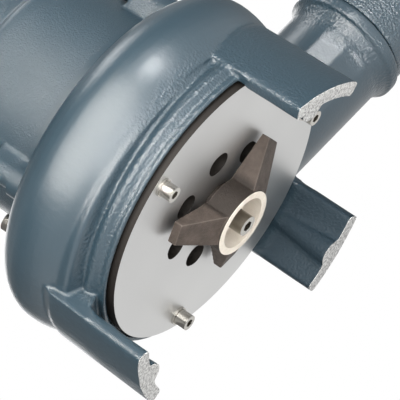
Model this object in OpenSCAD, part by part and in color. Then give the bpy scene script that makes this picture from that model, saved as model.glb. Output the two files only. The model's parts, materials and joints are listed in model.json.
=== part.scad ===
// Submersible sewage pump with an outside cutting rotor, standing on three cast legs.
// Millimetres, +Z up. The origin is under the middle of the pump, on the ground.

/* [Legs and casing] */
// Height of the cutting plate's lower face above the ground
leg_h = 40; // [36:1:46]
// Radius of the circle that the legs' outer faces lie on
leg_r = 108.5; // [107:0.5:112]
// Distance of the legs' circle behind the shaft
leg_shift = 8.5; // [5:0.5:10]
// Wall of the legs
leg_wall = 9.5; // [8:0.5:11]
// Outer radius of the volute wall
volute_r = 110; // [108:1:116]
// Distance of the volute's centre behind the shaft
volute_shift = 5; // [3:0.5:7]
// Wall of the volute
volute_wall = 8; // [6:0.5:10]
// Height from the casing's floor to the ridge under the volute wall
band_h = 15; // [13:1:17]
// Radius of the volute's upper shoulder
shoulder_r = 20; // [16:1:21]
// Thickness of the casing's floor, which holds the plate screws
floor_t = 12; // [11:0.5:14]
// Height of the volute chamber
chamber_h = 40; // [38:1:44]
// Thickness of the casing's roof
roof_t = 13; // [11:0.5:15]
// Height of the neck between the roof and the motor joint
neck_h = 13; // [11:0.5:16]
// Outer radius of the neck
neck_r = 75.5; // [74:0.5:77]

/* [Outlet] */
// Distance of the outlet's axis from the shaft
outlet_y = 62; // [58:1:64]
// Outer radius of the outlet pipe
pipe_r = 34; // [32:0.5:35]
// Radius of the water way
pipe_bore_r = 20; // [17:0.5:20]
// Distance from the shaft to the collar
collar_x = 166.5; // [160:0.5:172]
// Radius of the collar
collar_r = 39; // [37:0.5:41]
// Thickness of the collar
collar_t = 8.5; // [7:0.5:11]
// Length of the outlet body beyond its seal
outlet_len = 30; // [29:1:44]
// Radius of the outlet body
outlet_r = 36.5; // [34:0.5:38]
// Radius inside the outlet's pipe thread
thread_r = 22.4; // [21.5:0.1:24]
// Depth of the pipe thread
thread_depth = 24; // [20:1:28]

/* [Cutting plate and rotor] */
// Radius of the cutting plate
plate_r = 91; // [89:0.5:92]
// Thickness of the cutting plate
plate_t = 7.5; // [6:0.5:9]
// Number of cutting holes
hole_count = 7; // [5:1:8]
// Radius of the ring of cutting holes
hole_ring_r = 36; // [34:0.5:38]
// Width of a cutting hole
hole_w = 14.5; // [11:0.5:15]
// Length of a cutting hole
hole_len = 16.5; // [16:0.5:20]
// Radius of the circle of plate screws
plate_screw_ring_r = 82; // [80:0.5:83]
// Gap between the rotor's wings and the plate
cut_gap = 3.6; // [0.5:0.1:5]
// Radius of the rotor's hub
hub_r = 21.5; // [20:0.5:23]
// Height of the rotor's hub
hub_h = 17.5; // [16:0.5:19]
// Radius of the recess in the hub
recess_r = 17; // [16:0.5:17.5]
// Depth of the recess in the hub
recess_depth = 12; // [10:0.5:12.5]
// Radius at the tips of the wings
wing_r = 50; // [46:0.5:54]
// Width of a wing at the hub
wing_root_w = 20; // [17:1:26]
// Width of a wing at its tip
wing_tip_w = 14; // [12:0.5:18]
// Height of a wing at its tip
wing_tip_h = 5; // [4:0.5:7]

/* [Impeller and shaft] */
// Radius of the impeller
impeller_r = 66; // [62:1:68]
// Number of impeller vanes
vane_count = 6; // [4:1:7]
// Thickness of an impeller vane
vane_t = 5; // [4:0.5:6]
// Radius of the shaft at the impeller
shaft_low_r = 8; // [7.5:0.1:8.4]
// Radius of the shaft in the seals and the lower bearing
shaft_mid_r = 10; // [9.5:0.1:10.4]
// Radius of the shaft in the motor rotor
shaft_core_r = 13; // [12:0.5:14]
// Radius of the shaft in the upper bearing
shaft_top_r = 8.5; // [8:0.1:9]

/* [Motor] */
// Outer radius of the motor housing's skirt
skirt_r = 72.4; // [71:0.2:73.4]
// Height of the skirt
skirt_h = 61; // [56:1:66]
// Outer radius of the motor jacket
jacket_r = 65; // [64:0.5:67]
// Wall of the motor jacket
jacket_wall = 7; // [6:0.5:8]
// Height of the motor housing above the joint
motor_h = 166; // [162:1:176]
// Radius of the motor rotor
core_r = 30; // [27:0.5:32]
// Air gap between the motor rotor and the stator
air_gap = 0.5; // [0.4:0.1:0.8]
// Height that the motor's ends take beyond its stacks
motor_ends_h = 96; // [94:1:104]
// Thickness of the top cover
cover_t = 9; // [8:0.5:11]

/* [Handle] */
// Half the distance between the handle's posts
handle_half_w = 40; // [36:1:44]
// Height of the handle above the cover
handle_h = 44; // [38:1:52]
// Radius of the handle's bar
handle_bar_r = 7; // [6:0.5:8]

/* [Hidden] */
$fn = 64;

// Fits and small clearances
fit = 0.02;
run_fit = 0.05;
seat_gap = 0.3;
cut = 1;
edge = 1.2;

// Heights up the casing
gasket_t = 1;
plate_top_z = leg_h + plate_t;
rim_z = plate_top_z + gasket_t;
ridge_z = rim_z + band_h;
chamber_z = rim_z + floor_t;
roof_z = chamber_z + chamber_h;
top_z = roof_z + roof_t;
joint_z = top_z + neck_h;

// Rim round the plate, with the lip, the bead above it and the ridge under the wall
plate_proud = 3.5;
lip_z = leg_h + plate_proud;
lip_w = 5.5;
lip_h = 4;
lip_r = plate_r + lip_w;
pocket_gap = 2;
pocket_r = plate_r + pocket_gap;
groove_d = 0.8;
bead_w = 2.5;
bead_round = 4;
bead_span = 55;
bead_r = lip_r + bead_w;
bead_z = rim_z + lip_h + edge;
valley_d = 2.6;
valley_h = 6;
ridge_shift = 9;
ridge_r = volute_r - ridge_shift - edge;
ridge_round = 3;
ridge_in_w = 14;
wall_bulge = 9;
shoulder_start = 12;
suction_gap = 6;
suction_r = impeller_r + suction_gap;
arc_steps = 6;

// Legs: middle angle and span of each about its own circle, which way that circle is shifted,
// how much its radius differs, and how far the rib stands off the middle
leg_angles = [172, 301, 55];
leg_spans = [31, 36, 28.8];
leg_shifts = [1, -1, 0];
leg_trims = [0, -8.3, 0.5];
rib_turns = [0, -9, 0];
leg_draft = 3;
leg_in_draft = 1.5;
rib_r = 9;
rib_top_r = 5;
rib_inset = 1;
rib_blend = 4;

// Outlet
outlet_z = chamber_z + chamber_h / 2;
pipe_flat_share = 0.972;
pipe_flat_angles = [194, 224, 14, 44];
pipe_flat_end = 12;
pipe_flare = 8;
pipe_flare_rise = 3.5;
collar_edge = 1.5;
socket_r = 26;
socket_depth = 14;
outlet_seal_t = 1;
outlet_seal_r = outlet_r - collar_edge;
outlet_face_x = collar_x + collar_t + outlet_seal_t;
outlet_end_x = outlet_face_x + outlet_len;
mouth_chamfer = 2;

// Bolted joint between the casing and the motor housing
lug_angles = [137, 203, 317, 23];
lug_r = 8;
casing_lug_r = 10.5;
lug_h = 19;
lug_flank = 75;
lug_tuck = 0.3;
lug_head_gap = 0.6;

// Screw sizes: shank radius, head radius and head height
m6_shank_r = 3;
m6_head_r = 5;
m6_head_h = 6;
m8_shank_r = 4;
m8_head_r = 6.5;
m8_head_h = 8;
lug_ring_r = skirt_r + m8_head_r + lug_head_gap;
socket_share = 0.56;
socket_depth_share = 0.55;
screw_play = 0.3;
washer_t = 1.6;
washer_r = 6;
spring_r = 5.1;
spring_t = 1.6;
spring_slot = 1.2;
plate_head_z = leg_h - washer_t - spring_t;
plate_screw_len = 20;
plate_screw_turn = -2.5;
plate_screw_count = 3;

// Cutting rotor
hole_turn = -31;
wing_count = 3;
wing_turn = 91;
rotor_back_z = leg_h - cut_gap;
rotor_front_z = rotor_back_z - hub_h;
recess_z = rotor_front_z + recess_depth;
boss_r = 6.5;
boss_h = 7.4;
spigot_r = 15;
spigot_gap = 0.4;
spigot_short = 2;
spigot_top_z = plate_top_z - spigot_short;
wing_root_drop = 1.5;
key_w = 5;
key_h = 2.5;
key_len = 18;
rotor_key_len = 6;
hub_relief = 0.5;
wing_start_r = 16;

// Shaft
rotor_floor_t = 2.5;
shaft_end_z = recess_z + rotor_floor_t;
rotor_screw_len = 27.4;
impeller_gap = 1;
impeller_low_z = plate_top_z + impeller_gap;
shroud_t = 5;
shroud_gap = 8;
shroud_z = roof_z - shroud_gap - shroud_t;
impeller_hub_r = 17;
hub_top_gap = 2;
impeller_top_z = roof_z - hub_top_gap;
vane_bend_r = 46;
vane_offset_share = 0.62;

// Bearing carrier with the oil chamber
carrier_r = 60;
carrier_gap = 0.3;
carrier_wall = 9;
carrier_floor_t = 8;
web_t = 8;
flange_t = 6;
flange_w = 3.7;
web_z = joint_z + flange_t - web_t;
seat_r = 17;
seat_t = 6;
seal_film = 0.05;
head_r = 15.5;
head_h = 13;
lip_seal_r = 16;
lip_seal_t = 7;
seal_bore_gap = 1;
oil_plug_r = 5;
oil_plug_head_r = 8;
oil_plug_head_t = 3;
oil_plug_ring_r = 38;

// Ball bearings: outer radius, inner radius, width, ring thickness, ball radius
low_bearing_r = 23.5;
low_bearing_h = 14;
low_ball_r = 3.6;
top_bearing_r = 20;
top_bearing_h = 12;
top_ball_r = 3.1;
ring_share = 0.27;
ball_gap = 0.1;
ball_count = 8;
bearing_hub_wall = 7;
seat_step = 0.5;
low_bearing_z = joint_z + flange_t + seat_step;
hub_top_z = low_bearing_z + low_bearing_h;

// Motor
jacket_in_r = jacket_r - jacket_wall;
skirt_top_z = joint_z + skirt_h;
housing_top_z = joint_z + motor_h;
skirt_shoulder = 6;
winding_h = 15;
winding_gap = 3;
winding_r_share = 0.88;
winding_clear = 6;
stack_h = motor_h - motor_ends_h;
stack_z = hub_top_z + winding_h + winding_clear;
stack_top_z = stack_z + stack_h;
end_ring_h = 5;
end_ring_w = 10;
shield_clear = 5;
top_bearing_z = stack_top_z + winding_h + shield_clear;
shield_t = 6;
shield_z = top_bearing_z + top_bearing_h - shield_t;
shield_top_z = shield_z + shield_t;
shaft_top_z = top_bearing_z + top_bearing_h + edge;
terminal_h = 12;
terminal_w = 34;
terminal_d = 20;
terminal_y = 24;
terminal_count = 4;
oring_r = 67.5;
oring_wire_r = 1.4;

// Top cover
cover_lug_r = 8;
cover_lug_ring_r = jacket_r;
cover_lug_turn = 45;
cover_lug_count = 4;
cover_lug_h = 26;
cover_gasket_t = 1;
cover_z = housing_top_z + cover_gasket_t;
cover_top_z = cover_z + cover_t;
cover_spigot_h = 4;
cover_spigot_wall = 5;
cover_screw_depth = 24;
cover_screw_len = 18;

// Cable inlet
gland_x = 0;
gland_y = -34;
gland_hex_r = 13;
gland_hex_h = 9;
gland_neck_r = 9;
gland_neck_h = 8;
gland_stub_h = 12;
gland_nut_r = 12;
gland_nut_h = 13;
gland_seal_r = 7;
gland_seal_h = 9;
cable_r = 4.6;

// Handle
post_foot_r = 11;
post_foot_h = 4;
handle_screw_len = 20;
handle_bend_r = 16;
handle_post_h = handle_h - handle_bend_r - handle_bar_r;

// The part's middle lies half way between the outlet's end and the back of the legs.
mid_x = (outlet_end_x - leg_r - leg_shift) / 2;

paint = [0.30, 0.37, 0.42];
steel = [0.74, 0.74, 0.73];
ground_steel = [0.70, 0.70, 0.69];
dark_rubber = [0.09, 0.09, 0.10];
rotor_brown = [0.42, 0.37, 0.34];
copper = [0.66, 0.38, 0.22];
iron = [0.42, 0.43, 0.44];

// Points along an arc, from angle a to angle b
function arc(x, y, r, a, b) =
    [for (i = [0 : arc_steps]) let (t = a + (b - a) * i / arc_steps) [x + r * cos(t), y + r * sin(t)]];

// Everything is drawn about the shaft and then set in the part's own frame.
module placed() {
    translate([-mid_x, 0, 0]) children();
}

module ring(outer, inner, h) {
    difference() {
        cylinder(r = outer, h = h);
        translate([0, 0, -cut]) cylinder(r = inner, h = h + 2 * cut);
    }
}

module at_ring(angle, r, z) {
    rotate([0, 0, angle]) translate([r, 0, z]) children();
}

// Socket head cap screw, head down, with its shank pointing up from z = 0
module cap_screw(shank_r, head_r, head_h, len) {
    difference() {
        union() {
            translate([0, 0, -head_h]) cylinder(r = head_r, h = head_h);
            cylinder(r = shank_r, h = len);
        }
        translate([0, 0, -head_h - cut])
            cylinder(r = head_r * socket_share, h = head_h * socket_depth_share + cut, $fn = 6);
    }
}

// Casting that joins the legs, the volute and the outlet
module leg_profile(r) {
    polygon([
        [r - leg_wall, 0],
        [r, 0],
        [r - leg_draft, ridge_z + 2 * ridge_round],
        [r - leg_draft - wall_bulge, top_z - shoulder_r - edge],
        [lip_r - leg_shift, top_z - shoulder_r - edge],
        [lip_r - leg_shift, rim_z],
        [r - leg_wall - leg_in_draft, rim_z - rib_blend]
    ]);
}

module leg(angle, span, shift, r, rib_turn) {
    translate([-shift, 0, 0]) {
        rotate([0, 0, angle - span / 2]) rotate_extrude(angle = span) leg_profile(r);
        at_ring(angle + rib_turn, r - leg_wall + rib_inset, 0)
            cylinder(r1 = rib_r, r2 = rib_top_r, h = rim_z + lip_h);
    }
}

// The legs and the outlet pipe keep out of the plate's pocket.
module casing_arms() {
    difference() {
        union() {
            for (i = [0 : len(leg_angles) - 1])
                leg(leg_angles[i], leg_spans[i], leg_shifts[i] * leg_shift, leg_r + leg_trims[i], rib_turns[i]);
            outlet_pipe();
        }
        translate([0, 0, leg_h - edge]) cylinder(r = pocket_r + seat_gap, h = rim_z - leg_h + edge + groove_d);
    }
}

// The lip and its bead run about the shaft, the ridge above them about a circle of its own.
module rim_profile() {
    polygon(concat(
        [[suction_r, rim_z], [pocket_r, rim_z]],
        [[pocket_r, lip_z + edge / 2], [pocket_r + edge / 2, lip_z]],
        [[lip_r - edge, lip_z], [lip_r, lip_z + edge], [lip_r - groove_d, lip_z + lip_h]],
        arc(bead_r - bead_round, bead_z, bead_round, -bead_span, bead_span),
        [[bead_r - valley_d, bead_z + valley_h], [bead_r - valley_d, ridge_z + ridge_round]],
        [[suction_r, ridge_z + ridge_round]]
    ));
}

module ridge_profile() {
    polygon(concat(
        [[suction_r, chamber_z - edge], [ridge_r - ridge_in_w, chamber_z - edge - ridge_round]],
        [[ridge_r - ridge_in_w / 2, ridge_z - ridge_round - edge]],
        arc(ridge_r - ridge_round, ridge_z, ridge_round, -60, 0),
        [[ridge_r, ridge_z + 2 * ridge_round], [suction_r, ridge_z + 2 * ridge_round]]
    ));
}

// The wall swells from the ridge up to the shoulder.
function wall_points() = [for (i = [0 : arc_steps]) let (t = i / arc_steps)
    [volute_r - wall_bulge * (1 - t) * (1 - t), ridge_z + (top_z - shoulder_r - ridge_z) * t]];

module volute_profile() {
    polygon(concat(
        [[0, ridge_z]],
        wall_points(),
        arc(volute_r - shoulder_r, top_z - shoulder_r, shoulder_r, shoulder_start, 90),
        [[0, top_z]]
    ));
}

module chamber_profile() {
    inner_r = volute_r - volute_wall;
    round_r = shoulder_r - volute_wall;
    polygon(concat(
        [[0, chamber_z], [lip_r - volute_wall - volute_shift, chamber_z]],
        [[inner_r - wall_bulge, ridge_z + volute_wall / 2]],
        arc(inner_r - round_r, roof_z - round_r, round_r, 0, 90),
        [[0, roof_z]]
    ));
}

module outlet_pipe() {
    translate([0, outlet_y, outlet_z]) rotate([0, 90, 0]) {
        difference() {
            cylinder(r = pipe_r, h = collar_x + collar_t / 2);
            for (a = pipe_flat_angles) rotate([0, 0, a + 90])
                translate([pipe_r * pipe_flat_share, -pipe_r, 0])
                cube([pipe_r, 2 * pipe_r, collar_x - pipe_flat_end]);
        }
        translate([0, 0, collar_x - pipe_flare])
            cylinder(r1 = pipe_r - fit, r2 = pipe_r + pipe_flare_rise, h = pipe_flare + cut);
        translate([0, 0, collar_x]) cylinder(r = collar_r, h = collar_t - collar_edge);
        translate([0, 0, collar_x + collar_t - collar_edge])
            cylinder(r1 = collar_r, r2 = collar_r - collar_edge, h = collar_edge);
    }
}

module lug_plan(r) {
    half = r * sin(lug_flank) - lug_tuck;
    reach = lug_ring_r + r * cos(lug_flank);
    back = neck_r - r;
    foot = half + (reach - back) / tan(lug_flank);
    polygon([[reach, -half], [reach, half], [back, foot], [back, -foot]]);
}

module lugs(r, z, h) {
    for (a = lug_angles) rotate([0, 0, a]) translate([0, 0, z]) linear_extrude(height = h) {
        translate([lug_ring_r, 0]) circle(r = r);
        lug_plan(r);
    }
}

module volute_casing() {
    color(paint) placed() difference() {
        union() {
            rotate_extrude() rim_profile();
            translate([-ridge_shift, 0, 0]) rotate_extrude() ridge_profile();
            translate([-volute_shift, 0, 0]) rotate_extrude() volute_profile();
            translate([0, 0, roof_z]) cylinder(r = neck_r, h = joint_z - roof_z + cut);
            lugs(casing_lug_r, roof_z + roof_t / 2, joint_z - roof_z - roof_t / 2 + edge);
            casing_arms();
        }
        translate([0, 0, joint_z]) cylinder(r = volute_r, h = neck_h);
        translate([0, 0, rim_z - cut]) cylinder(r = suction_r, h = floor_t + 2 * cut);
        translate([-volute_shift, 0, 0]) rotate_extrude() chamber_profile();
        translate([0, 0, roof_z - cut]) cylinder(r = carrier_r, h = joint_z - roof_z + 2 * edge);
        translate([0, outlet_y, outlet_z]) rotate([0, 90, 0]) {
            cylinder(r = pipe_bore_r, h = collar_x + collar_t + cut);
            translate([0, 0, collar_x + collar_t - socket_depth])
                cylinder(r = socket_r, h = socket_depth + cut);
        }
        plate_screw_places(rim_z - cut) cylinder(r = m6_shank_r + fit, h = floor_t);
        for (a = lug_angles)
            at_ring(a, lug_ring_r, top_z - edge) cylinder(r = m8_shank_r + fit, h = neck_h + edge + cut);
        translate([0, 0, joint_z - oring_wire_r]) ring(oring_r + oring_wire_r, oring_r - oring_wire_r, 2 * cut);
    }
}

// Cutting plate and what holds it
module plate_screw_places(z) {
    for (i = [0 : plate_screw_count - 1])
        at_ring(plate_screw_turn + i * 360 / plate_screw_count, plate_screw_ring_r, z) children();
}

module cutting_hole() {
    side = (hole_len - hole_w) / 2;
    for (s = [-1, 1]) translate([0, s * side, 0]) cylinder(r = hole_w / 2, h = plate_t + 2 * cut);
    translate([-hole_w / 2, -side, 0]) cube([hole_w, 2 * side, plate_t + 2 * cut]);
}

module cutting_plate() {
    color(ground_steel) placed() difference() {
        translate([0, 0, leg_h]) cylinder(r = plate_r, h = plate_t);
        translate([0, 0, leg_h - cut]) cylinder(r = spigot_r + spigot_gap, h = plate_t + 2 * cut);
        for (i = [0 : hole_count - 1])
            at_ring(hole_turn + i * 360 / hole_count, hole_ring_r, leg_h - cut) cutting_hole();
        plate_screw_places(leg_h - cut) cylinder(r = m6_shank_r + screw_play, h = plate_t + 2 * cut);
    }
}

module plate_gasket() {
    color(dark_rubber) placed() difference() {
        translate([0, 0, plate_top_z]) ring(plate_r - edge, suction_r + edge, gasket_t);
        plate_screw_places(plate_top_z - cut) cylinder(r = m6_shank_r + screw_play, h = gasket_t + 2 * cut);
    }
}

module plate_screws() {
    color(steel) placed() plate_screw_places(plate_head_z)
        cap_screw(m6_shank_r, m6_head_r, m6_head_h, plate_screw_len);
}

module plate_washers() {
    color(steel) placed() plate_screw_places(leg_h - washer_t) ring(washer_r, m6_shank_r + fit, washer_t);
}

module spring_washers() {
    color(steel) placed() plate_screw_places(plate_head_z) difference() {
        ring(spring_r, m6_shank_r + fit, spring_t);
        translate([0, -spring_slot / 2, -cut]) cube([2 * spring_r, spring_slot, spring_t + 2 * cut]);
    }
}

// Cutting rotor: a cup with three sloping wings
module wing() {
    drop = hub_h - wing_root_drop;
    intersection() {
        translate([0, 0, rotor_front_z - cut]) linear_extrude(height = hub_h + 2 * cut) polygon([
            [wing_start_r, -wing_root_w / 2],
            [hub_r, -wing_root_w / 2],
            [wing_r, -wing_tip_w / 2],
            [wing_r, wing_tip_w / 2],
            [hub_r, wing_root_w / 2],
            [wing_start_r, wing_root_w / 2]
        ]);
        translate([0, wing_root_w, 0]) rotate([90, 0, 0]) linear_extrude(height = 2 * wing_root_w) polygon([
            [0, rotor_back_z],
            [0, rotor_back_z - drop],
            [hub_r - edge, rotor_back_z - drop],
            [wing_r + cut, rotor_back_z - wing_tip_h],
            [wing_r + cut, rotor_back_z]
        ]);
    }
}

module cutting_rotor() {
    color(rotor_brown) placed() difference() {
        union() {
            translate([0, 0, rotor_front_z]) cylinder(r = hub_r, h = hub_h - hub_relief);
            for (i = [0 : wing_count - 1]) rotate([0, 0, wing_turn + i * 360 / wing_count]) wing();
            translate([0, 0, rotor_back_z - cut]) cylinder(r = spigot_r, h = spigot_top_z - rotor_back_z + cut);
        }
        difference() {
            translate([0, 0, rotor_front_z - cut]) cylinder(r = recess_r, h = recess_depth + cut);
            translate([0, 0, recess_z - boss_h]) cylinder(r = boss_r, h = boss_h);
        }
        translate([0, 0, rotor_front_z]) cylinder(r = m8_shank_r + screw_play, h = hub_h);
        translate([0, 0, shaft_end_z]) cylinder(r = shaft_low_r + fit, h = spigot_top_z - shaft_end_z + cut);
        rotor_key_box(fit);
    }
}

module rotor_key_box(gap) {
    translate([shaft_low_r - key_h / 2 - gap, -key_w / 2 - gap, rotor_back_z - gap])
        cube([key_h + 2 * gap, key_w + 2 * gap, rotor_key_len + 2 * gap]);
}

module impeller_key_box(gap) {
    translate([shaft_low_r - key_h / 2 - gap, -key_w / 2 - gap, shroud_z - key_len - gap])
        cube([key_h + 2 * gap, key_w + 2 * gap, key_len + 2 * gap]);
}

module rotor_screw() {
    color(steel) placed() translate([0, 0, recess_z - boss_h])
        cap_screw(m8_shank_r, m8_head_r, m8_head_h, rotor_screw_len);
}

module drive_keys() {
    color(steel) placed() {
        rotor_key_box(0);
        impeller_key_box(0);
    }
}

// Open impeller with curved vanes under a back shroud
module vane() {
    reach = vane_bend_r * 2 * vane_offset_share;
    intersection() {
        translate([0, vane_bend_r - vane_t, 0]) ring(vane_bend_r, vane_bend_r - vane_t, shroud_z - impeller_low_z + cut);
        translate([0, -vane_t, 0]) cube([2 * vane_bend_r, reach, shroud_z - impeller_low_z + cut]);
    }
}

module impeller() {
    color(iron) placed() difference() {
        union() {
            translate([0, 0, shroud_z]) cylinder(r = impeller_r, h = shroud_t);
            translate([0, 0, impeller_low_z]) cylinder(r = impeller_hub_r, h = impeller_top_z - impeller_low_z);
            intersection() {
                translate([0, 0, impeller_low_z]) for (i = [0 : vane_count - 1])
                    rotate([0, 0, i * 360 / vane_count]) vane();
                cylinder(r = impeller_r, h = roof_z);
            }
        }
        translate([0, 0, impeller_low_z - cut]) cylinder(r = shaft_low_r + fit, h = impeller_top_z);
        impeller_key_box(fit);
    }
}

// Shaft with its steps, its tapped end and its keyways
module shaft() {
    color(steel) placed() difference() {
        union() {
            translate([0, 0, shaft_end_z]) cylinder(r = shaft_low_r, h = impeller_top_z - shaft_end_z);
            translate([0, 0, impeller_top_z]) cylinder(r = shaft_mid_r, h = hub_top_z - impeller_top_z);
            translate([0, 0, hub_top_z]) cylinder(r = shaft_core_r, h = stack_top_z + end_ring_h - hub_top_z);
            translate([0, 0, stack_top_z + end_ring_h])
                cylinder(r = shaft_mid_r, h = top_bearing_z - stack_top_z - end_ring_h);
            translate([0, 0, top_bearing_z]) cylinder(r = shaft_top_r, h = shaft_top_z - top_bearing_z);
        }
        translate([0, 0, shaft_end_z - cut]) cylinder(r = m8_shank_r + fit, h = rotor_screw_len);
        rotor_key_box(fit);
        impeller_key_box(fit);
    }
}

// Seals
module seal_seat() {
    color(iron) placed() translate([0, 0, roof_z + carrier_floor_t - seat_t])
        ring(seat_r - fit, shaft_mid_r + seal_bore_gap, seat_t);
}

module seal_head() {
    color(steel) placed() translate([0, 0, roof_z + carrier_floor_t + seal_film])
        ring(head_r, shaft_mid_r + fit, head_h);
}

module lip_seal() {
    color(dark_rubber) placed() translate([0, 0, web_z + web_t - lip_seal_t])
        ring(lip_seal_r - fit, shaft_mid_r + run_fit, lip_seal_t);
}

module bearing_carrier() {
    low_z = roof_z;
    color(iron) placed() difference() {
        rotate_extrude() polygon([
            [shaft_mid_r + seal_bore_gap, low_z],
            [carrier_r - carrier_gap, low_z],
            [carrier_r - carrier_gap, joint_z],
            [carrier_r + flange_w, joint_z],
            [carrier_r + flange_w, joint_z + flange_t],
            [low_bearing_r + bearing_hub_wall, joint_z + flange_t],
            [low_bearing_r + bearing_hub_wall, hub_top_z],
            [low_bearing_r + fit, hub_top_z],
            [low_bearing_r + fit, low_bearing_z],
            [lip_seal_r, low_bearing_z],
            [lip_seal_r, web_z + web_t - lip_seal_t],
            [shaft_mid_r + seal_bore_gap, web_z + web_t - lip_seal_t],
            [shaft_mid_r + seal_bore_gap, web_z],
            [carrier_r - carrier_gap - carrier_wall, web_z],
            [carrier_r - carrier_gap - carrier_wall, low_z + carrier_floor_t],
            [seat_r, low_z + carrier_floor_t],
            [seat_r, low_z + carrier_floor_t - seat_t],
            [shaft_mid_r + seal_bore_gap, low_z + carrier_floor_t - seat_t]
        ]);
        at_ring(0, oil_plug_ring_r, low_z - cut) cylinder(r = oil_plug_r + fit, h = carrier_floor_t + 2 * cut);
        at_ring(0, oil_plug_ring_r, low_z - cut) cylinder(r = oil_plug_head_r + screw_play, h = oil_plug_head_t + cut);
    }
}

module oil_plug() {
    color(steel) placed() at_ring(0, oil_plug_ring_r, roof_z) difference() {
        union() {
            cylinder(r = oil_plug_head_r, h = oil_plug_head_t);
            cylinder(r = oil_plug_r, h = carrier_floor_t);
        }
        translate([0, 0, -cut]) cylinder(r = oil_plug_r / 2, h = oil_plug_head_t + cut, $fn = 6);
    }
}

// Ball bearings
module bearing_ring(outer, inner, h, pitch, ball_r) {
    rotate_extrude() difference() {
        translate([inner, 0]) square([outer - inner, h]);
        translate([pitch, h / 2]) circle(r = ball_r + ball_gap);
    }
}

function pitch_r(outer, inner) = (outer + inner) / 2;
function ring_t(outer, inner) = (outer - inner) * ring_share;

module bearing_outer_rings() {
    color(steel) placed() {
        translate([0, 0, low_bearing_z]) bearing_ring(low_bearing_r,
            low_bearing_r - ring_t(low_bearing_r, shaft_mid_r), low_bearing_h,
            pitch_r(low_bearing_r, shaft_mid_r), low_ball_r);
        translate([0, 0, top_bearing_z]) bearing_ring(top_bearing_r,
            top_bearing_r - ring_t(top_bearing_r, shaft_top_r), top_bearing_h,
            pitch_r(top_bearing_r, shaft_top_r), top_ball_r);
    }
}

module bearing_inner_rings() {
    color(steel) placed() {
        translate([0, 0, low_bearing_z]) bearing_ring(shaft_mid_r + ring_t(low_bearing_r, shaft_mid_r),
            shaft_mid_r + fit, low_bearing_h, pitch_r(low_bearing_r, shaft_mid_r), low_ball_r);
        translate([0, 0, top_bearing_z]) bearing_ring(shaft_top_r + ring_t(top_bearing_r, shaft_top_r),
            shaft_top_r + fit, top_bearing_h, pitch_r(top_bearing_r, shaft_top_r), top_ball_r);
    }
}

module bearing_balls() {
    color(steel) placed() for (i = [0 : ball_count - 1]) {
        at_ring(i * 360 / ball_count, pitch_r(low_bearing_r, shaft_mid_r), low_bearing_z + low_bearing_h / 2)
            sphere(r = low_ball_r);
        at_ring(i * 360 / ball_count, pitch_r(top_bearing_r, shaft_top_r), top_bearing_z + top_bearing_h / 2)
            sphere(r = top_ball_r);
    }
}

// Motor
module motor_rotor() {
    color(iron) placed() {
        translate([0, 0, stack_z]) ring(core_r, shaft_core_r + fit, stack_h);
        for (z = [stack_z - end_ring_h, stack_top_z])
            translate([0, 0, z]) ring(core_r - edge, core_r - end_ring_w, end_ring_h);
    }
}

module stator_core() {
    color(iron) placed() translate([0, 0, stack_z])
        ring(jacket_in_r - fit, core_r + air_gap, stack_h);
}

module stator_windings() {
    outer = jacket_in_r * winding_r_share;
    color(copper) placed() for (z = [stack_z - winding_h, stack_top_z])
        translate([0, 0, z]) ring(outer, core_r + winding_gap, winding_h);
}

module motor_housing() {
    color(paint) placed() difference() {
        union() {
            rotate_extrude() polygon(concat(
                [[jacket_in_r, joint_z - cut], [skirt_r, joint_z - cut]],
                arc(skirt_r - skirt_shoulder, skirt_top_z - skirt_shoulder, skirt_shoulder, 0, 90),
                [[jacket_r, skirt_top_z], [jacket_r, housing_top_z + cut], [jacket_in_r, housing_top_z + cut]]
            ));
            lugs(lug_r, joint_z - edge, lug_h + edge);
            cover_lugs(housing_top_z - cover_lug_h, cover_lug_h + edge);
        }
        for (z = [joint_z - neck_h, housing_top_z]) translate([0, 0, z]) cylinder(r = volute_r, h = neck_h);
        translate([0, 0, joint_z - cut]) cylinder(r = carrier_r + flange_w + fit, h = flange_t + cut);
        translate([0, 0, joint_z - cut]) cylinder(r = jacket_in_r, h = motor_h + 2 * cut);
        for (a = lug_angles)
            at_ring(a, lug_ring_r, joint_z - cut) cylinder(r = m8_shank_r + screw_play, h = lug_h + 2 * cut);
        cover_lug_places(housing_top_z - cover_screw_depth)
            cylinder(r = m6_shank_r + fit, h = cover_screw_depth + cut);
    }
}

module housing_screws() {
    color(steel) placed() for (a = lug_angles)
        at_ring(a, lug_ring_r, joint_z + lug_h) mirror([0, 0, 1])
            cap_screw(m8_shank_r, m8_head_r, m8_head_h, lug_h + neck_h);
}

module housing_oring() {
    color(dark_rubber) placed() translate([0, 0, joint_z - oring_wire_r])
        ring(oring_r + oring_wire_r - fit, oring_r - oring_wire_r + fit, oring_wire_r);
}

module bearing_shield() {
    color(iron) placed() union() {
        translate([0, 0, shield_z]) ring(jacket_in_r - fit, top_bearing_r + fit, shield_t);
        translate([0, 0, top_bearing_z]) ring(top_bearing_r + bearing_hub_wall, top_bearing_r + fit, top_bearing_h);
    }
}

module terminal_block() {
    step = terminal_w / terminal_count;
    color("ivory") placed() translate([-terminal_w / 2, terminal_y, shield_top_z]) difference() {
        cube([terminal_w, terminal_d, terminal_h]);
        for (i = [0 : terminal_count - 1])
            translate([(i + 0.5) * step, terminal_d / 2, terminal_h / 2]) cylinder(r = step / 4, h = terminal_h);
    }
}

// Top cover
module cover_lug_places(z) {
    for (i = [0 : cover_lug_count - 1])
        at_ring(cover_lug_turn + i * 360 / cover_lug_count, cover_lug_ring_r, z) children();
}

module cover_lugs(z, h) {
    cover_lug_places(z) cylinder(r = cover_lug_r, h = h);
}

module handle_posts(z) {
    for (s = [-1, 1]) translate([s * handle_half_w, 0, z]) children();
}

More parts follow.
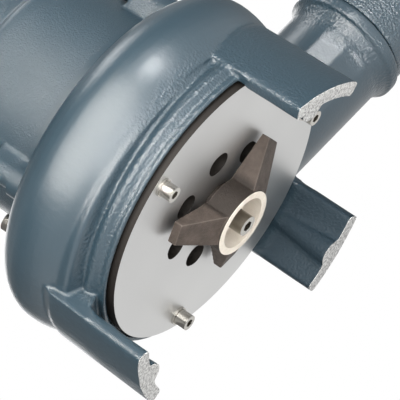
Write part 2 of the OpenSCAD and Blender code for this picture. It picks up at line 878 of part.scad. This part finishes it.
module top_cover() {
    color(paint) placed() difference() {
        union() {
            translate([0, 0, cover_z]) cylinder(r = jacket_r, h = cover_t - edge);
            translate([0, 0, cover_top_z - edge]) cylinder(r1 = jacket_r, r2 = jacket_r - edge, h = edge);
            cover_lugs(cover_z, cover_t);
            translate([0, 0, cover_z - cover_gasket_t - cover_spigot_h])
                ring(jacket_in_r - seat_gap, jacket_in_r - cover_spigot_wall, cover_spigot_h + cover_gasket_t + cut);
        }
        cover_lug_places(cover_z - cut) cylinder(r = m6_shank_r + screw_play, h = cover_t + 2 * cut);
        handle_posts(cover_z - cut) cylinder(r = m6_shank_r + screw_play, h = cover_t + 2 * cut);
        translate([gland_x, gland_y, cover_z - cut]) cylinder(r = gland_neck_r + fit, h = cover_t + 2 * cut);
    }
}

module cover_gasket() {
    color(dark_rubber) placed() difference() {
        union() {
            translate([0, 0, housing_top_z]) cylinder(r = jacket_r - edge, h = cover_gasket_t);
            cover_lug_places(housing_top_z) cylinder(r = cover_lug_r - edge, h = cover_gasket_t);
        }
        translate([0, 0, housing_top_z - cut]) cylinder(r = jacket_in_r, h = cover_gasket_t + 2 * cut);
        cover_lug_places(housing_top_z - cut) cylinder(r = m6_shank_r + screw_play, h = cover_gasket_t + 2 * cut);
    }
}

module cover_screws() {
    color(steel) placed() cover_lug_places(cover_top_z) mirror([0, 0, 1])
        cap_screw(m6_shank_r, m6_head_r, m6_head_h, cover_t + cover_screw_len);
}

// Cable inlet
module cable_gland() {
    color(steel) placed() translate([gland_x, gland_y, 0]) difference() {
        union() {
            translate([0, 0, cover_z]) cylinder(r = gland_neck_r, h = cover_t + gland_hex_h + gland_stub_h);
            translate([0, 0, cover_top_z]) cylinder(r = gland_hex_r, h = gland_hex_h, $fn = 6);
        }
        translate([0, 0, cover_z - cut])
            cylinder(r = cable_r + seat_gap, h = cover_t + gland_hex_h + gland_stub_h + 2 * cut);
        translate([0, 0, cover_top_z + gland_hex_h + gland_stub_h - gland_seal_h])
            cylinder(r = gland_seal_r + fit, h = gland_seal_h + cut);
    }
}

module gland_nut() {
    nut_z = cover_top_z + gland_hex_h + seat_gap;
    color(steel) placed() translate([gland_x, gland_y, nut_z]) difference() {
        cylinder(r = gland_nut_r, h = gland_nut_h + gland_seal_h / 4, $fn = 12);
        translate([0, 0, -cut]) cylinder(r = gland_neck_r + fit, h = gland_stub_h - seat_gap + cut + fit);
        translate([0, 0, -cut]) cylinder(r = cable_r + seat_gap, h = gland_nut_h + gland_seal_h);
    }
}

module gland_seal() {
    color(dark_rubber) placed()
        translate([gland_x, gland_y, cover_top_z + gland_hex_h + gland_stub_h - gland_seal_h])
        ring(gland_seal_r, cable_r, gland_seal_h);
}

// Lifting handle: two posts, two bends and a straight grip
module handle() {
    top = cover_top_z + handle_post_h;
    grip = handle_half_w - handle_bend_r;
    color(paint) placed() difference() {
        union() {
            for (s = [0, 1]) mirror([s, 0, 0]) {
                translate([handle_half_w, 0, cover_top_z]) cylinder(r = post_foot_r, h = post_foot_h);
                translate([handle_half_w, 0, cover_top_z]) cylinder(r = handle_bar_r, h = handle_post_h);
                translate([grip, 0, top]) rotate([90, 0, 0]) rotate_extrude(angle = 90)
                    translate([handle_bend_r, 0]) circle(r = handle_bar_r);
            }
            translate([-grip, 0, top + handle_bend_r]) rotate([0, 90, 0]) cylinder(r = handle_bar_r, h = 2 * grip);
        }
        handle_posts(cover_top_z - cut) cylinder(r = m6_shank_r + fit, h = handle_screw_len + cut - cover_t);
    }
}

module handle_screws() {
    color(steel) placed() handle_posts(cover_z) cap_screw(m6_shank_r, m6_head_r, m6_head_h, handle_screw_len - edge);
}

// Outlet body with its pipe thread
module outlet_body() {
    color(paint) placed() translate([0, outlet_y, outlet_z]) rotate([0, 90, 0]) difference() {
        union() {
            translate([0, 0, outlet_face_x]) cylinder(r = outlet_r, h = outlet_len);
            translate([0, 0, collar_x + collar_t - socket_depth + seat_gap])
                cylinder(r = socket_r - run_fit, h = socket_depth + outlet_seal_t);
        }
        cylinder(r = pipe_bore_r, h = outlet_end_x + cut);
        translate([0, 0, outlet_end_x - thread_depth]) cylinder(r = thread_r, h = thread_depth + cut);
        translate([0, 0, outlet_end_x - mouth_chamfer])
            cylinder(r1 = thread_r, r2 = thread_r + mouth_chamfer, h = mouth_chamfer + fit);
    }
}

module outlet_seal() {
    color(dark_rubber) placed() translate([collar_x + collar_t, outlet_y, outlet_z]) rotate([0, 90, 0])
        ring(outlet_seal_r, socket_r + fit, outlet_seal_t);
}

volute_casing();
cutting_plate();
plate_gasket();
plate_screws();
plate_washers();
spring_washers();
cutting_rotor();
rotor_screw();
impeller();
drive_keys();
shaft();
seal_seat();
seal_head();
lip_seal();
bearing_carrier();
oil_plug();
bearing_outer_rings();
bearing_inner_rings();
bearing_balls();
motor_rotor();
stator_core();
stator_windings();
motor_housing();
housing_screws();
housing_oring();
bearing_shield();
terminal_block();
top_cover();
cover_gasket();
cover_screws();
cable_gland();
gland_nut();
gland_seal();
handle();
handle_screws();
outlet_body();
outlet_seal();
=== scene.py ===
import bpy, bmesh, json, math
from mathutils import Matrix, Vector


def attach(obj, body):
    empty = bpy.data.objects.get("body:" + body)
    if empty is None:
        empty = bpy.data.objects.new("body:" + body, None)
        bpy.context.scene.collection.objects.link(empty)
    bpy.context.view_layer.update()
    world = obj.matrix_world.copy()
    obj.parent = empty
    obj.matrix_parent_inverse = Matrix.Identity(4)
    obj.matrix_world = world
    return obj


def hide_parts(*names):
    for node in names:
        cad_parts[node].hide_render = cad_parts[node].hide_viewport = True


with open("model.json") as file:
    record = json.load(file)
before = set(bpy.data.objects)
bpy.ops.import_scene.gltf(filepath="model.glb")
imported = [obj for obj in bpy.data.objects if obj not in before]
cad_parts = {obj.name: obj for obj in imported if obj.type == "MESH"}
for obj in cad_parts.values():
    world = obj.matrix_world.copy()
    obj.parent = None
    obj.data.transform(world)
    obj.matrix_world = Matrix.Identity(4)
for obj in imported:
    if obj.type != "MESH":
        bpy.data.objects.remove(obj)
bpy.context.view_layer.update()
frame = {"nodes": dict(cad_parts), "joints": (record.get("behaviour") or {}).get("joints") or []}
scene = bpy.context.scene
nodes = frame["nodes"]
shaft = Vector(frame["joints"][0]["pos_m"])   # the shaft's axis stands here
mm = 0.001
print("frame loaded:", len(nodes), "nodes")


# Camera: a long lens from below and in front of the legs
cameraSet = {
    "back": Vector((-0.4155, -0.8286, -0.3749)),   # from the pump to the camera
    "up": Vector((0.649, -0.559, 0.516)),
    "aim": (215.0, 204.5, 40 * mm),                # pixel where the shaft crosses the plate, and its height
    "picture": 400,                                # the picture's width and height in pixels
    "pixelsPerMetre": 1720.0,
    "distance": 3.0,
    "sensor": 36.0,
    "clip": (0.1, 50.0),
}


def makeCamera(cs):
    back = cs["back"].normalized()
    up = (cs["up"] - cs["up"].dot(back) * back).normalized()
    right = up.cross(back).normalized()
    px, py, height = cs["aim"]
    middle = cs["picture"] / 2
    target = Vector((shaft.x, shaft.y, height))
    target += right * ((middle - px) / cs["pixelsPerMetre"]) + up * ((py - middle) / cs["pixelsPerMetre"])
    data = bpy.data.cameras.new("camera")
    data.sensor_width = cs["sensor"]
    data.lens = cs["sensor"] * cs["distance"] * cs["pixelsPerMetre"] / cs["picture"]
    data.clip_start, data.clip_end = cs["clip"]
    cam = bpy.data.objects.new("camera", data)
    scene.collection.objects.link(cam)
    turn = Matrix((right, up, back)).transposed().to_4x4()
    cam.matrix_world = Matrix.Translation(target + back * cs["distance"]) @ turn
    scene.camera = cam
    return target


aimPoint = makeCamera(cameraSet)
scene.view_settings.view_transform = "Standard"
print("camera made")


# Shader maths: a socket that can be added, multiplied and so on
class Wire:
    def __init__(self, board, socket):
        self.board, self.socket = board, socket

    def maths(self, operation, first, second):
        return self.board.node("ShaderNodeMath", {"operation": operation}, {0: first, 1: second})

    def __add__(self, other): return self.maths("ADD", self, other)
    def __radd__(self, other): return self.maths("ADD", other, self)
    def __sub__(self, other): return self.maths("SUBTRACT", self, other)
    def __rsub__(self, other): return self.maths("SUBTRACT", other, self)
    def __mul__(self, other): return self.maths("MULTIPLY", self, other)
    def __rmul__(self, other): return self.maths("MULTIPLY", other, self)
    def __pow__(self, other): return self.maths("POWER", self, other)
    def largest(self, other): return self.maths("MAXIMUM", self, other)


# The nodes of a material or of the world
class Board:
    def __init__(self, owner, outputKind):
        self.owner = owner
        owner.use_nodes = True
        self.tree = owner.node_tree
        self.tree.nodes.clear()
        self.output = self.tree.nodes.new(outputKind)

    def feed(self, socket, value):
        if isinstance(value, Wire):
            self.tree.links.new(value.socket, socket)
        elif socket.type == "RGBA":
            socket.default_value = (*value, 1.0)
        else:
            socket.default_value = value

    def node(self, kind, settings, inputs, out=0):
        made = self.tree.nodes.new(kind)
        for key, value in settings.items():
            if key == "stops":
                ramp = made.color_ramp
                while len(ramp.elements) < len(value):
                    ramp.elements.new(0.5)
                for element, (place, level) in zip(ramp.elements, value):
                    element.position, element.color = place, (level, level, level, 1)
            else:
                setattr(made, key, value)
        for key, value in inputs.items():
            self.feed(made.inputs[key], value)
        return Wire(self, made.outputs[out])

    def source(self, kind, out=0):
        return self.node(kind, {}, {}, out)

    def part(self, wire, out):    # another output of the same node
        return Wire(self, wire.socket.node.outputs[out])

    def rays(self, *kinds):
        first = self.source("ShaderNodeLightPath")
        return [self.part(first, "Is " + kind + " Ray") for kind in kinds]

    def split(self, vector, axis):
        return self.node("ShaderNodeSeparateXYZ", {}, {0: vector}, axis)

    def blend(self, factor, first, second):    # of shaders
        return self.node("ShaderNodeMixShader", {}, {0: factor, 1: first, 2: second})

    def show(self, wire):
        self.feed(self.output.inputs[0], wire)


class Finish(Board):
    def __init__(self, name):
        super().__init__(bpy.data.materials.new(name), "ShaderNodeOutputMaterial")

    def surface(self, **values):
        inputs = {key.replace("_", " "): value for key, value in values.items()}
        return self.node("ShaderNodeBsdfPrincipled", {}, inputs)

    def place(self):
        return self.source("ShaderNodeTexCoord", "Object")

    def noise(self, scale, detail, rough=0.5):
        return self.node("ShaderNodeTexNoise", {}, {"Vector": self.place(), "Scale": scale, "Detail": detail,
                                                    "Roughness": rough})

    def mix(self, factor, first, second):    # of colours
        return self.node("ShaderNodeMix", {"data_type": "RGBA"}, {0: factor, 6: first, 7: second}, 2)

    def between(self, value, low, high):    # 0 up to the first limit, 1 from the second on
        return self.node("ShaderNodeMapRange", {"clamp": True}, {0: value, 1: low, 2: high, 3: 0.0, 4: 1.0})

    def axis(self, number):
        return self.split(self.place(), number)

    def height(self):
        return self.axis(2)

    def shaftRadius(self):
        across, along = self.axis(0) - shaft.x, self.axis(1) - shaft.y
        return (across * across + along * along) ** 0.5

    def facing(self, axis):
        return self.split(self.source("ShaderNodeNewGeometry", "Normal"), axis)

    def edges(self, low, high):    # above 0.5 on outer edges, under it in corners
        return self.between(self.source("ShaderNodeNewGeometry", "Pointiness"), low, high)

    def bump(self, height, distance, strength, under=None):
        inputs = {"Height": height, "Distance": distance, "Strength": strength}
        if under:
            inputs["Normal"] = under
        return self.node("ShaderNodeBump", {}, inputs)


# Paint over cast iron. A noise is given by its scale, detail and roughness, and a mask by where it begins
# and where it is full
paintSet = {
    "colour": (0.015, 0.034, 0.049),
    "pale": (0.023, 0.046, 0.063),
    "clouds": (14, 3),                     # between those two
    "wearAndSheen": (0.15, 0.19, 0.215),           # on edges, partly wear and partly a painted highlight
    "wearAndSheenEdges": (0.53, 0.60),
    "wearAndSheenGrain": (260, 4),
    "wearAndSheenGrainRange": (0.35, 0.65),
    "wearAndSheenShare": 0.4,
    "wornRoughness": 0.10,
    "paintedShade": (0.012, 0.019, 0.026),         # painted shade in corners
    "paintedShadeEdges": (0.48, 0.42),
    "paintedShadeShare": 0.6,
    "roughness": 0.32,                     # under 0.28 the render draws contour lines in the paint
    "roughnessSpread": 0.06,
    "ior": 1.74,
    "waves": (120, 2),
    "waveDepth": 0.0002,
    "waveStrength": 0.5,
    "peel": (600, 1, 0.4),
    "grain": (950, 3, 0.65),
    "skinDepth": 0.00062,
}
casingPaintSet = {
    "wallSkin": 0.12,                      # share of the skin on the smooth wall
    "castHeight": (0.076, 0.066),          # below the one and inside the other, the sand's marks show through
    "castRadius": (0.107, 0.102),
    "collarFrom": (0.100, 0.112),
    "groundHeight": (0.00045, 0.00015),    # the feet are ground bare
    "bareLow": (0.20, 0.20, 0.20),
    "bareHigh": (0.62, 0.62, 0.61),
    "bareGrain": (620, 4, 0.7),
    "bareGrainRange": (0.40, 0.56),
    "bareRoughness": 0.5,
    "rearHeight": (0.048, 0.034),          # the rear leg stands away from the light and gets a shaded copy of the paint: painted shade darkens it and its skin reflects less
    "rearFrom": (0.010, 0.040),
    "rearShade": 0.5,
    "rearRoughness": 0.55,
    "rearIor": 1.35,
}


def paintFinish(name, relief, coarse, cs=None):
    f = Finish(name)
    ps = paintSet
    slow = f.noise(*ps["clouds"])
    tone = f.mix(slow, ps["colour"], ps["pale"])
    # lighter edges: partly wear, partly a painted highlight
    wearAndSheen = f.edges(*ps["wearAndSheenEdges"]) * f.between(f.noise(*ps["wearAndSheenGrain"]), *ps["wearAndSheenGrainRange"])
    tone = f.mix(wearAndSheen * ps["wearAndSheenShare"], tone, ps["wearAndSheen"])
    # painted shade: concave corners are darkened
    tone = f.mix(f.edges(*ps["paintedShadeEdges"]) * ps["paintedShadeShare"], tone, ps["paintedShade"])
    roughness = ps["roughness"] + (slow - 0.5) * ps["roughnessSpread"] + wearAndSheen * ps["wornRoughness"]
    skin = f.noise(*ps["peel"]) * coarse + f.noise(*ps["grain"]) * (1 - coarse)
    if cs:
        low = f.between(f.height(), *cs["castHeight"]) * f.between(f.shaftRadius(), *cs["castRadius"])
        collar = f.between(f.axis(0), *cs["collarFrom"])
        skin = skin * (low * (1 - cs["wallSkin"]) + cs["wallSkin"]).largest(collar)
    waves = f.bump(f.noise(*ps["waves"]), ps["waveDepth"], ps["waveStrength"])
    normal = f.bump(skin, ps["skinDepth"] * relief, 1.0, waves)
    if cs:
        ground = f.between(f.height(), *cs["groundHeight"])
        patches = f.between(f.noise(*cs["bareGrain"]), *cs["bareGrainRange"])
        tone = f.mix(ground, tone, f.mix(patches, cs["bareLow"], cs["bareHigh"]))
        roughness = roughness * (1 - ground) + ground * cs["bareRoughness"]
    shown = f.surface(Base_Color=tone, Roughness=roughness, Normal=normal, IOR=ps["ior"])
    if cs:
        # painted shade: the rear leg gets a darker, less glossy copy of the paint
        rear = f.between(f.height(), *cs["rearHeight"]) * f.between(f.axis(1), *cs["rearFrom"]) * (1 - ground)
        shadedCopy = f.surface(Base_Color=f.mix(rear * cs["rearShade"], tone, ps["paintedShade"]),
                         Roughness=cs["rearRoughness"], Normal=normal, IOR=cs["rearIor"])
        shown = f.blend(rear, shown, shadedCopy)
    f.show(shown)
    return f.owner


# Turned metals
steelSet = {
    "clouds": (22, 3),
    "cloudRange": (0.3, 0.7),
    "shade": 0.80,
    "grain": (900, 4, 0.6),
    "depth": 0.00002,
    "strength": 0.6,
    "roughnessSpread": 0.18,
}


def steelFinish(name, colour, roughness):
    f = Finish(name)
    ss = steelSet
    fine = f.noise(*ss["grain"])
    clouds = f.between(f.noise(*ss["clouds"]), *ss["cloudRange"])
    shade = tuple(c * ss["shade"] for c in colour)
    f.show(f.surface(Base_Color=f.mix(clouds, shade, colour), Metallic=1.0,
                     Roughness=roughness + (fine - 0.5) * ss["roughnessSpread"],
                     Normal=f.bump(fine, ss["depth"], ss["strength"])))
    return f.owner


# The cutting plate: ground on its face, dark on its side, partly its own darker steel and partly painted shade of
# the gap under the casing's lip
plateSet = {
    "low": (0.56, 0.56, 0.555),
    "high": (0.64, 0.64, 0.63),
    "clouds": (9, 2),
    "cloudRange": (0.3, 0.7),
    "side": (0.014, 0.011, 0.009),
    "sideFacing": (-0.7, -0.3),
    "sideMetalLoss": 0.7,
    "sideRoughness": 0.2,
    "roughness": 0.42,
    "roughnessSpread": 0.12,
    "grain": (1500, 4, 0.6),
    "depth": 0.000012,
    "strength": 0.5,
}


def plateFinish(ps):
    f = Finish("plateSteel")
    fine = f.noise(*ps["grain"])
    face = f.mix(f.between(f.noise(*ps["clouds"]), *ps["cloudRange"]), ps["low"], ps["high"])
    # the side's darkness is partly its own colour and partly painted shade
    side = f.between(f.facing(2), *ps["sideFacing"])
    f.show(f.surface(Base_Color=f.mix(side, face, ps["side"]), Metallic=1.0 - side * ps["sideMetalLoss"],
                     Roughness=ps["roughness"] + (fine - 0.5) * ps["roughnessSpread"] + side * ps["sideRoughness"],
                     Normal=f.bump(fine, ps["depth"], ps["strength"])))
    return f.owner


# The cutting rotor: a brown cast skin, machined on its end face and inside its cup
rotorSet = {
    "low": (0.046, 0.036, 0.030),
    "high": (0.086, 0.068, 0.058),
    "clouds": (140, 5, 0.62),
    "cloudRange": (0.3, 0.7),
    # lighter on edges, partly wear and partly a painted highlight
    "wearAndSheen": (0.40, 0.35, 0.31),
    "wearAndSheenEdges": (0.52, 0.60),
    "wearAndSheenShare": 0.5,
    "hub": (0.016, 0.013, 0.011),          # painted shade: the hub's upright side is darker
    "hubShadeFacing": (0.10, 0.03),
    "hubRadius": (0.026, 0.023),
    "hubShadeShare": 0.75,
    "faceHeight": (0.0193, 0.0190),
    "cupRadius": (0.0173, 0.0169),
    "cupHeight": (0.0315, 0.0310),
    "bossRadius": (0.0070, 0.0067),
    "machinedLow": (0.74, 0.67, 0.58),
    "machinedHigh": (0.92, 0.86, 0.77),
    "machinedClouds": (260, 4),
    "machinedPolish": 0.15,
    "roughness": 0.60,
    "roughnessSpread": 0.3,
    "specular": 0.25,
    "grain": (420, 5, 0.68),
    "depth": 0.0006,
}


def rotorFinish(rs):
    f = Finish("rotorSteel")
    fine = f.noise(*rs["grain"])
    radius = f.shaftRadius()
    tone = f.mix(f.between(f.noise(*rs["clouds"]), *rs["cloudRange"]), rs["low"], rs["high"])
    # lighter edges: partly wear, partly a painted highlight
    tone = f.mix(f.edges(*rs["wearAndSheenEdges"]) * rs["wearAndSheenShare"], tone, rs["wearAndSheen"])
    # painted shade on the hub's upright side
    upright = f.between(f.facing(2) * f.facing(2), *rs["hubShadeFacing"])
    tone = f.mix(upright * f.between(radius, *rs["hubRadius"]) * rs["hubShadeShare"], tone, rs["hub"])
    cup = f.between(radius, *rs["cupRadius"]) * f.between(f.height(), *rs["cupHeight"])
    boss = f.between(radius, *rs["bossRadius"])
    machined = f.between(f.height(), *rs["faceHeight"]).largest(cup * (1 - boss))
    bright = f.mix(f.noise(*rs["machinedClouds"]), rs["machinedLow"], rs["machinedHigh"])
    roughness = rs["roughness"] + (fine - 0.5) * rs["roughnessSpread"] - machined * rs["machinedPolish"]
    f.show(f.surface(Base_Color=f.mix(machined, tone, bright), Metallic=0.0, Specular_IOR_Level=rs["specular"],
                     Roughness=roughness, Normal=f.bump(fine, rs["depth"], 1.0)))
    return f.owner


# Everything else: one colour with a little grain
plainSet = {
    "clouds": (35, 3),
    "cloudRange": (0.3, 0.7),
    "colourSpread": 0.12,
    "grain": (500, 4, 0.6),
    "depth": 0.00004,
    "strength": 0.6,
    "roughnessSpread": 0.2,
}


def plainFinish(name, colour, roughness, metallic=0.0):
    f = Finish(name)
    ps = plainSet
    fine = f.noise(*ps["grain"])
    clouds = f.between(f.noise(*ps["clouds"]), *ps["cloudRange"])
    low, high = (tuple(c * share for c in colour) for share in (1 - ps["colourSpread"], 1 + ps["colourSpread"]))
    f.show(f.surface(Base_Color=f.mix(clouds, low, high), Metallic=metallic,
                     Roughness=roughness + (fine - 0.5) * ps["roughnessSpread"],
                     Normal=f.bump(fine, ps["depth"], ps["strength"])))
    return f.owner


finishes = {
    "casing": paintFinish("casingPaint", 0.95, 0.85, casingPaintSet),    # relief, coarseness
    "motor": paintFinish("motorPaint", 0.7, 0.3),
    "outlet": paintFinish("outletPaint", 2.2, 0.85),
    "plate": plateFinish(plateSet),
    "rotor": rotorFinish(rotorSet),
    "screw": steelFinish("screwSteel", (0.54, 0.52, 0.48), 0.19),        # colour, roughness
    "shaft": steelFinish("turnedSteel", (0.55, 0.55, 0.55), 0.28),
    "iron": plainFinish("bareIron", (0.12, 0.12, 0.13), 0.6, 0.7),       # colour, roughness, metallic
    "rubber": plainFinish("sealRubber", (0.02, 0.02, 0.02), 0.7),
    "copper": plainFinish("windingCopper", (0.40, 0.17, 0.08), 0.35, 0.8),
    "plastic": plainFinish("terminalPlastic", (0.55, 0.50, 0.42), 0.5),
    "brass": steelFinish("glandMetal", (0.60, 0.58, 0.53), 0.25),
}
nodeFinish = {
    "plate": ["cutting_plate"],
    "rotor": ["cutting_rotor"],
    "screw": ["plate_screws", "plate_washers", "spring_washers", "rotor_screw", "housing_screws", "cover_screws",
              "handle_screws", "oil_plug"],
    "shaft": ["shaft", "drive_keys", "seal_seat", "seal_head", "bearing_outer_rings", "bearing_inner_rings",
              "bearing_balls"],
    "iron": ["impeller", "bearing_carrier", "motor_rotor", "stator_core", "bearing_shield"],
    "rubber": ["plate_gasket", "lip_seal", "housing_oring", "cover_gasket", "gland_seal", "outlet_seal"],
    "copper": ["stator_windings"],
    "plastic": ["terminal_block"],
    "brass": ["cable_gland", "gland_nut"],
    "motor": ["motor_housing", "top_cover", "handle"],
    "outlet": ["outlet_body"],
    "casing": ["volute_casing"],
}


def dress(obj, key):
    obj.data.materials.clear()
    obj.data.materials.append(finishes[key])
    for face in obj.data.polygons:
        face.material_index = 0


for key, names in nodeFinish.items():
    for name in names:
        dress(nodes[name], key)
print("finishes made")


# Castings: the CAD solid, remeshed and softened so that its edges and corners have a casting's rounding
castSet = {
    "merge": 0.00002,       # points nearer than this become one
    "endDepth": 0.00006,    # points this near to a flat end belong to it
    "soften": 0.5,
    "sharpFrom": 0.7,       # edges that turn by more than this stay sharp
}


def castCopy(name, source, cs, rounder=None):
    mesh = nodes[source].data.copy()
    bm = bmesh.new()
    bm.from_mesh(mesh)
    bmesh.ops.remove_doubles(bm, verts=bm.verts, dist=castSet["merge"])
    for axis, value, shift in cs["ends"]:    # ends that stay flat are drawn out first and cut off afterwards
        for v in bm.verts:
            if abs(v.co[axis] - value) < castSet["endDepth"]:
                v.co[axis] += shift
    bm.to_mesh(mesh)
    bm.free()
    rough = bpy.data.objects.new("rough", mesh)
    scene.collection.objects.link(rough)
    remesh = rough.modifiers.new("voxels", "REMESH")
    remesh.mode, remesh.voxel_size, remesh.adaptivity = "VOXEL", cs["voxel"], 0
    soften = rough.modifiers.new("soften", "SMOOTH")
    soften.factor, soften.iterations = castSet["soften"], cs["passes"]
    depsgraph = bpy.context.evaluated_depsgraph_get()
    made = bpy.data.meshes.new_from_object(rough.evaluated_get(depsgraph))
    bpy.data.objects.remove(rough)
    bm = bmesh.new()
    bm.from_mesh(made)
    if rounder:    # places whose edges are rounder than the rest
        inPlace = [v for v in bm.verts if rounder(v.co)]
        for _ in range(cs["rounderPasses"]):
            bmesh.ops.smooth_vert(bm, verts=inPlace, factor=castSet["soften"],
                                  use_axis_x=True, use_axis_y=True, use_axis_z=True)
    for axis, value, shift in cs["ends"]:
        outward = Vector([math.copysign(1, shift) if i == axis else 0 for i in range(3)])
        point = Vector([value if i == axis else 0 for i in range(3)])
        done = bmesh.ops.bisect_plane(bm, geom=bm.verts[:] + bm.edges[:] + bm.faces[:], plane_co=point,
                                      plane_no=outward, clear_outer=True)
        rimEdges = [e for e in done["geom_cut"] if isinstance(e, bmesh.types.BMEdge)]
        bmesh.ops.triangle_fill(bm, use_beauty=True, edges=rimEdges, normal=outward)
    bmesh.ops.recalc_face_normals(bm, faces=bm.faces)
    for face in bm.faces:
        face.smooth = True
    for edge in bm.edges:
        if len(edge.link_faces) == 2 and edge.calc_face_angle(0) > castSet["sharpFrom"]:
            edge.smooth = False
    bm.to_mesh(made)
    bm.free()
    piece = bpy.data.objects.new(name, made)
    scene.collection.objects.link(piece)
    print(name, len(made.vertices), "points")
    return piece


jointHeight = 0.1265    # where the motor housing stands on the casing
coverHeight = 0.2925    # where the top cover lies on the motor housing

casingSet = {
    "voxel": 0.9 * mm,
    "passes": 10,
    "ends": [(2, 0.0, -6 * mm), (2, jointHeight, 6 * mm)],    # axis, where the end stands, how far it is drawn out
    "legTop": 0.041,
    "legRadius": 0.0975,
    "rounderPasses": 36,
}


def onLegs(co):
    radius = math.hypot(co.x - shaft.x, co.y - shaft.y)
    return co.z < casingSet["legTop"] and radius > casingSet["legRadius"]


casing = castCopy("casing_casting", "volute_casing", casingSet, onLegs)
dress(casing, "casing")
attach(casing, "housing")
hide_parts("volute_casing")

motorSet = {"voxel": 1.1 * mm, "passes": 12, "ends": [(2, jointHeight, -6 * mm), (2, coverHeight, 6 * mm)]}
motor = castCopy("motor_casting", "motor_housing", motorSet)
dress(motor, "motor")
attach(motor, "housing")
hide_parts("motor_housing")

outletFrom, outletTo = [pick(v.co.x for v in nodes["outlet_body"].data.vertices) for pick in (min, max)]
outletSet = {"voxel": 1.0 * mm, "passes": 8, "ends": [(0, outletFrom, -6 * mm), (0, outletTo, 6 * mm)]}
outlet = castCopy("outlet_casting", "outlet_body", outletSet)
dress(outlet, "outlet")
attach(outlet, "housing")
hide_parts("outlet_body")

rotorFace = min(v.co.z for v in nodes["cutting_rotor"].data.vertices)
rotorCastSet = {"voxel": 0.4 * mm, "passes": 7, "ends": [(2, rotorFace, -3 * mm)]}
rotor = castCopy("rotor_casting", "cutting_rotor", rotorCastSet)
dress(rotor, "rotor")
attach(rotor, "shaft_set")
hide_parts("cutting_rotor")
print("castings made")


# Floor: pale from above, open to light and to the camera from below
floorSet = {"colour": (0.86, 0.86, 0.86), "glow": 0.86, "reach": 4.0, "height": -0.0004}


def makeFloor(fs):
    f = Finish("paleFloor")
    camera, glossy, through, shadow = f.rays("Camera", "Glossy", "Transmission", "Shadow")
    back = f.source("ShaderNodeNewGeometry", "Backfacing")
    pale = f.node("ShaderNodeBsdfDiffuse", {}, {"Color": fs["colour"]})
    white = f.node("ShaderNodeEmission", {}, {"Color": (1, 1, 1), "Strength": 1.0})
    clear = f.source("ShaderNodeBsdfTransparent")
    shown = f.blend(glossy.largest(through), f.blend(camera * fs["glow"], pale, white), white)
    f.show(f.blend(back.largest(shadow), shown, clear))
    reach, height = fs["reach"], fs["height"]
    corners = [(x * reach, y * reach, height) for x, y in ((-1, -1), (1, -1), (1, 1), (-1, 1))]
    mesh = bpy.data.meshes.new("floor")
    mesh.from_pydata(corners, [], [(0, 1, 2, 3)])
    mesh.materials.append(f.owner)
    floor = bpy.data.objects.new("floor", mesh)
    scene.collection.objects.link(floor)


makeFloor(floorSet)
print("floor made")


# World: white for the camera, a studio with light and dark walls in reflections, plain soft light otherwise
worldSet = {
    "soft": 0.14,
    # height from straight down, 0, to straight up, 1, and how bright the wall is there
    "walls": ((0.0, 1.0), (0.50, 1.0), (0.58, 0.42), (0.70, 0.20), (0.84, 0.55), (1.0, 0.25)),
}


def makeWorld(ws):
    scene.world = bpy.data.worlds.new("studio")
    w = Board(scene.world, "ShaderNodeOutputWorld")
    camera, glossy, through = w.rays("Camera", "Glossy", "Transmission")
    height = w.split(w.source("ShaderNodeTexCoord", "Generated"), 2)
    lift = w.node("ShaderNodeMapRange", {}, {0: height, "From Min": -1.0})
    walls = w.node("ShaderNodeValToRGB", {"stops": ws["walls"]}, {0: lift})
    soft = w.node("ShaderNodeBackground", {}, {"Color": (1, 1, 1), "Strength": ws["soft"]})
    studio = w.node("ShaderNodeBackground", {}, {"Color": walls})
    white = w.node("ShaderNodeBackground", {}, {"Color": (1, 1, 1)})
    w.show(w.blend(camera, w.blend(glossy.largest(through), soft, studio), white))


makeWorld(worldSet)
print("world made")


# Lamps: those that reach under the floor are sampled from the lamp only, as a reflected ray ends on the floor
lamps = {
    "leftBox": {"towards": (-0.50, -0.865, 0.02), "distance": 1.3, "size": (2.0, 1.05), "power": 42.0,
                "tint": (1.0, 0.97, 0.925), "under": True},
    "frontBox": {"towards": (0.42, -0.90, -0.05), "distance": 1.5, "size": (0.26, 0.36), "power": 7.5,
                 "under": True},
    "rimBox": {"towards": (-0.37, -0.80, -0.48), "distance": 1.4, "size": (1.1, 0.16), "power": 7.0,
               "under": True},
    "lowBox": {"towards": (0.12, -0.50, -0.86), "distance": 1.4, "size": (0.45, 0.35), "power": 6.0,
               "under": True},
    "topBox": {"towards": (0.30, -0.35, 0.88), "distance": 1.6, "size": (0.9, 0.6), "power": 8.0},
    "backBox": {"towards": (0.3, 0.8, 0.5), "distance": 1.6, "size": (1.0, 1.0), "power": 8.0},
}


def makeLamp(name, ls):
    data = bpy.data.lights.new(name, "AREA")
    data.shape = "RECTANGLE"
    data.size, data.size_y = ls["size"]
    data.energy = ls["power"]
    data.color = ls.get("tint", (1, 1, 1))
    data.cycles.use_multiple_importance_sampling = not ls.get("under")
    lamp = bpy.data.objects.new(name, data)
    scene.collection.objects.link(lamp)
    towards = Vector(ls["towards"]).normalized()
    turn = towards.to_track_quat("Z", "Y").to_matrix().to_4x4()
    lamp.matrix_world = Matrix.Translation(aimPoint + towards * ls["distance"]) @ turn


for name, ls in lamps.items():
    makeLamp(name, ls)
print("lamps made")
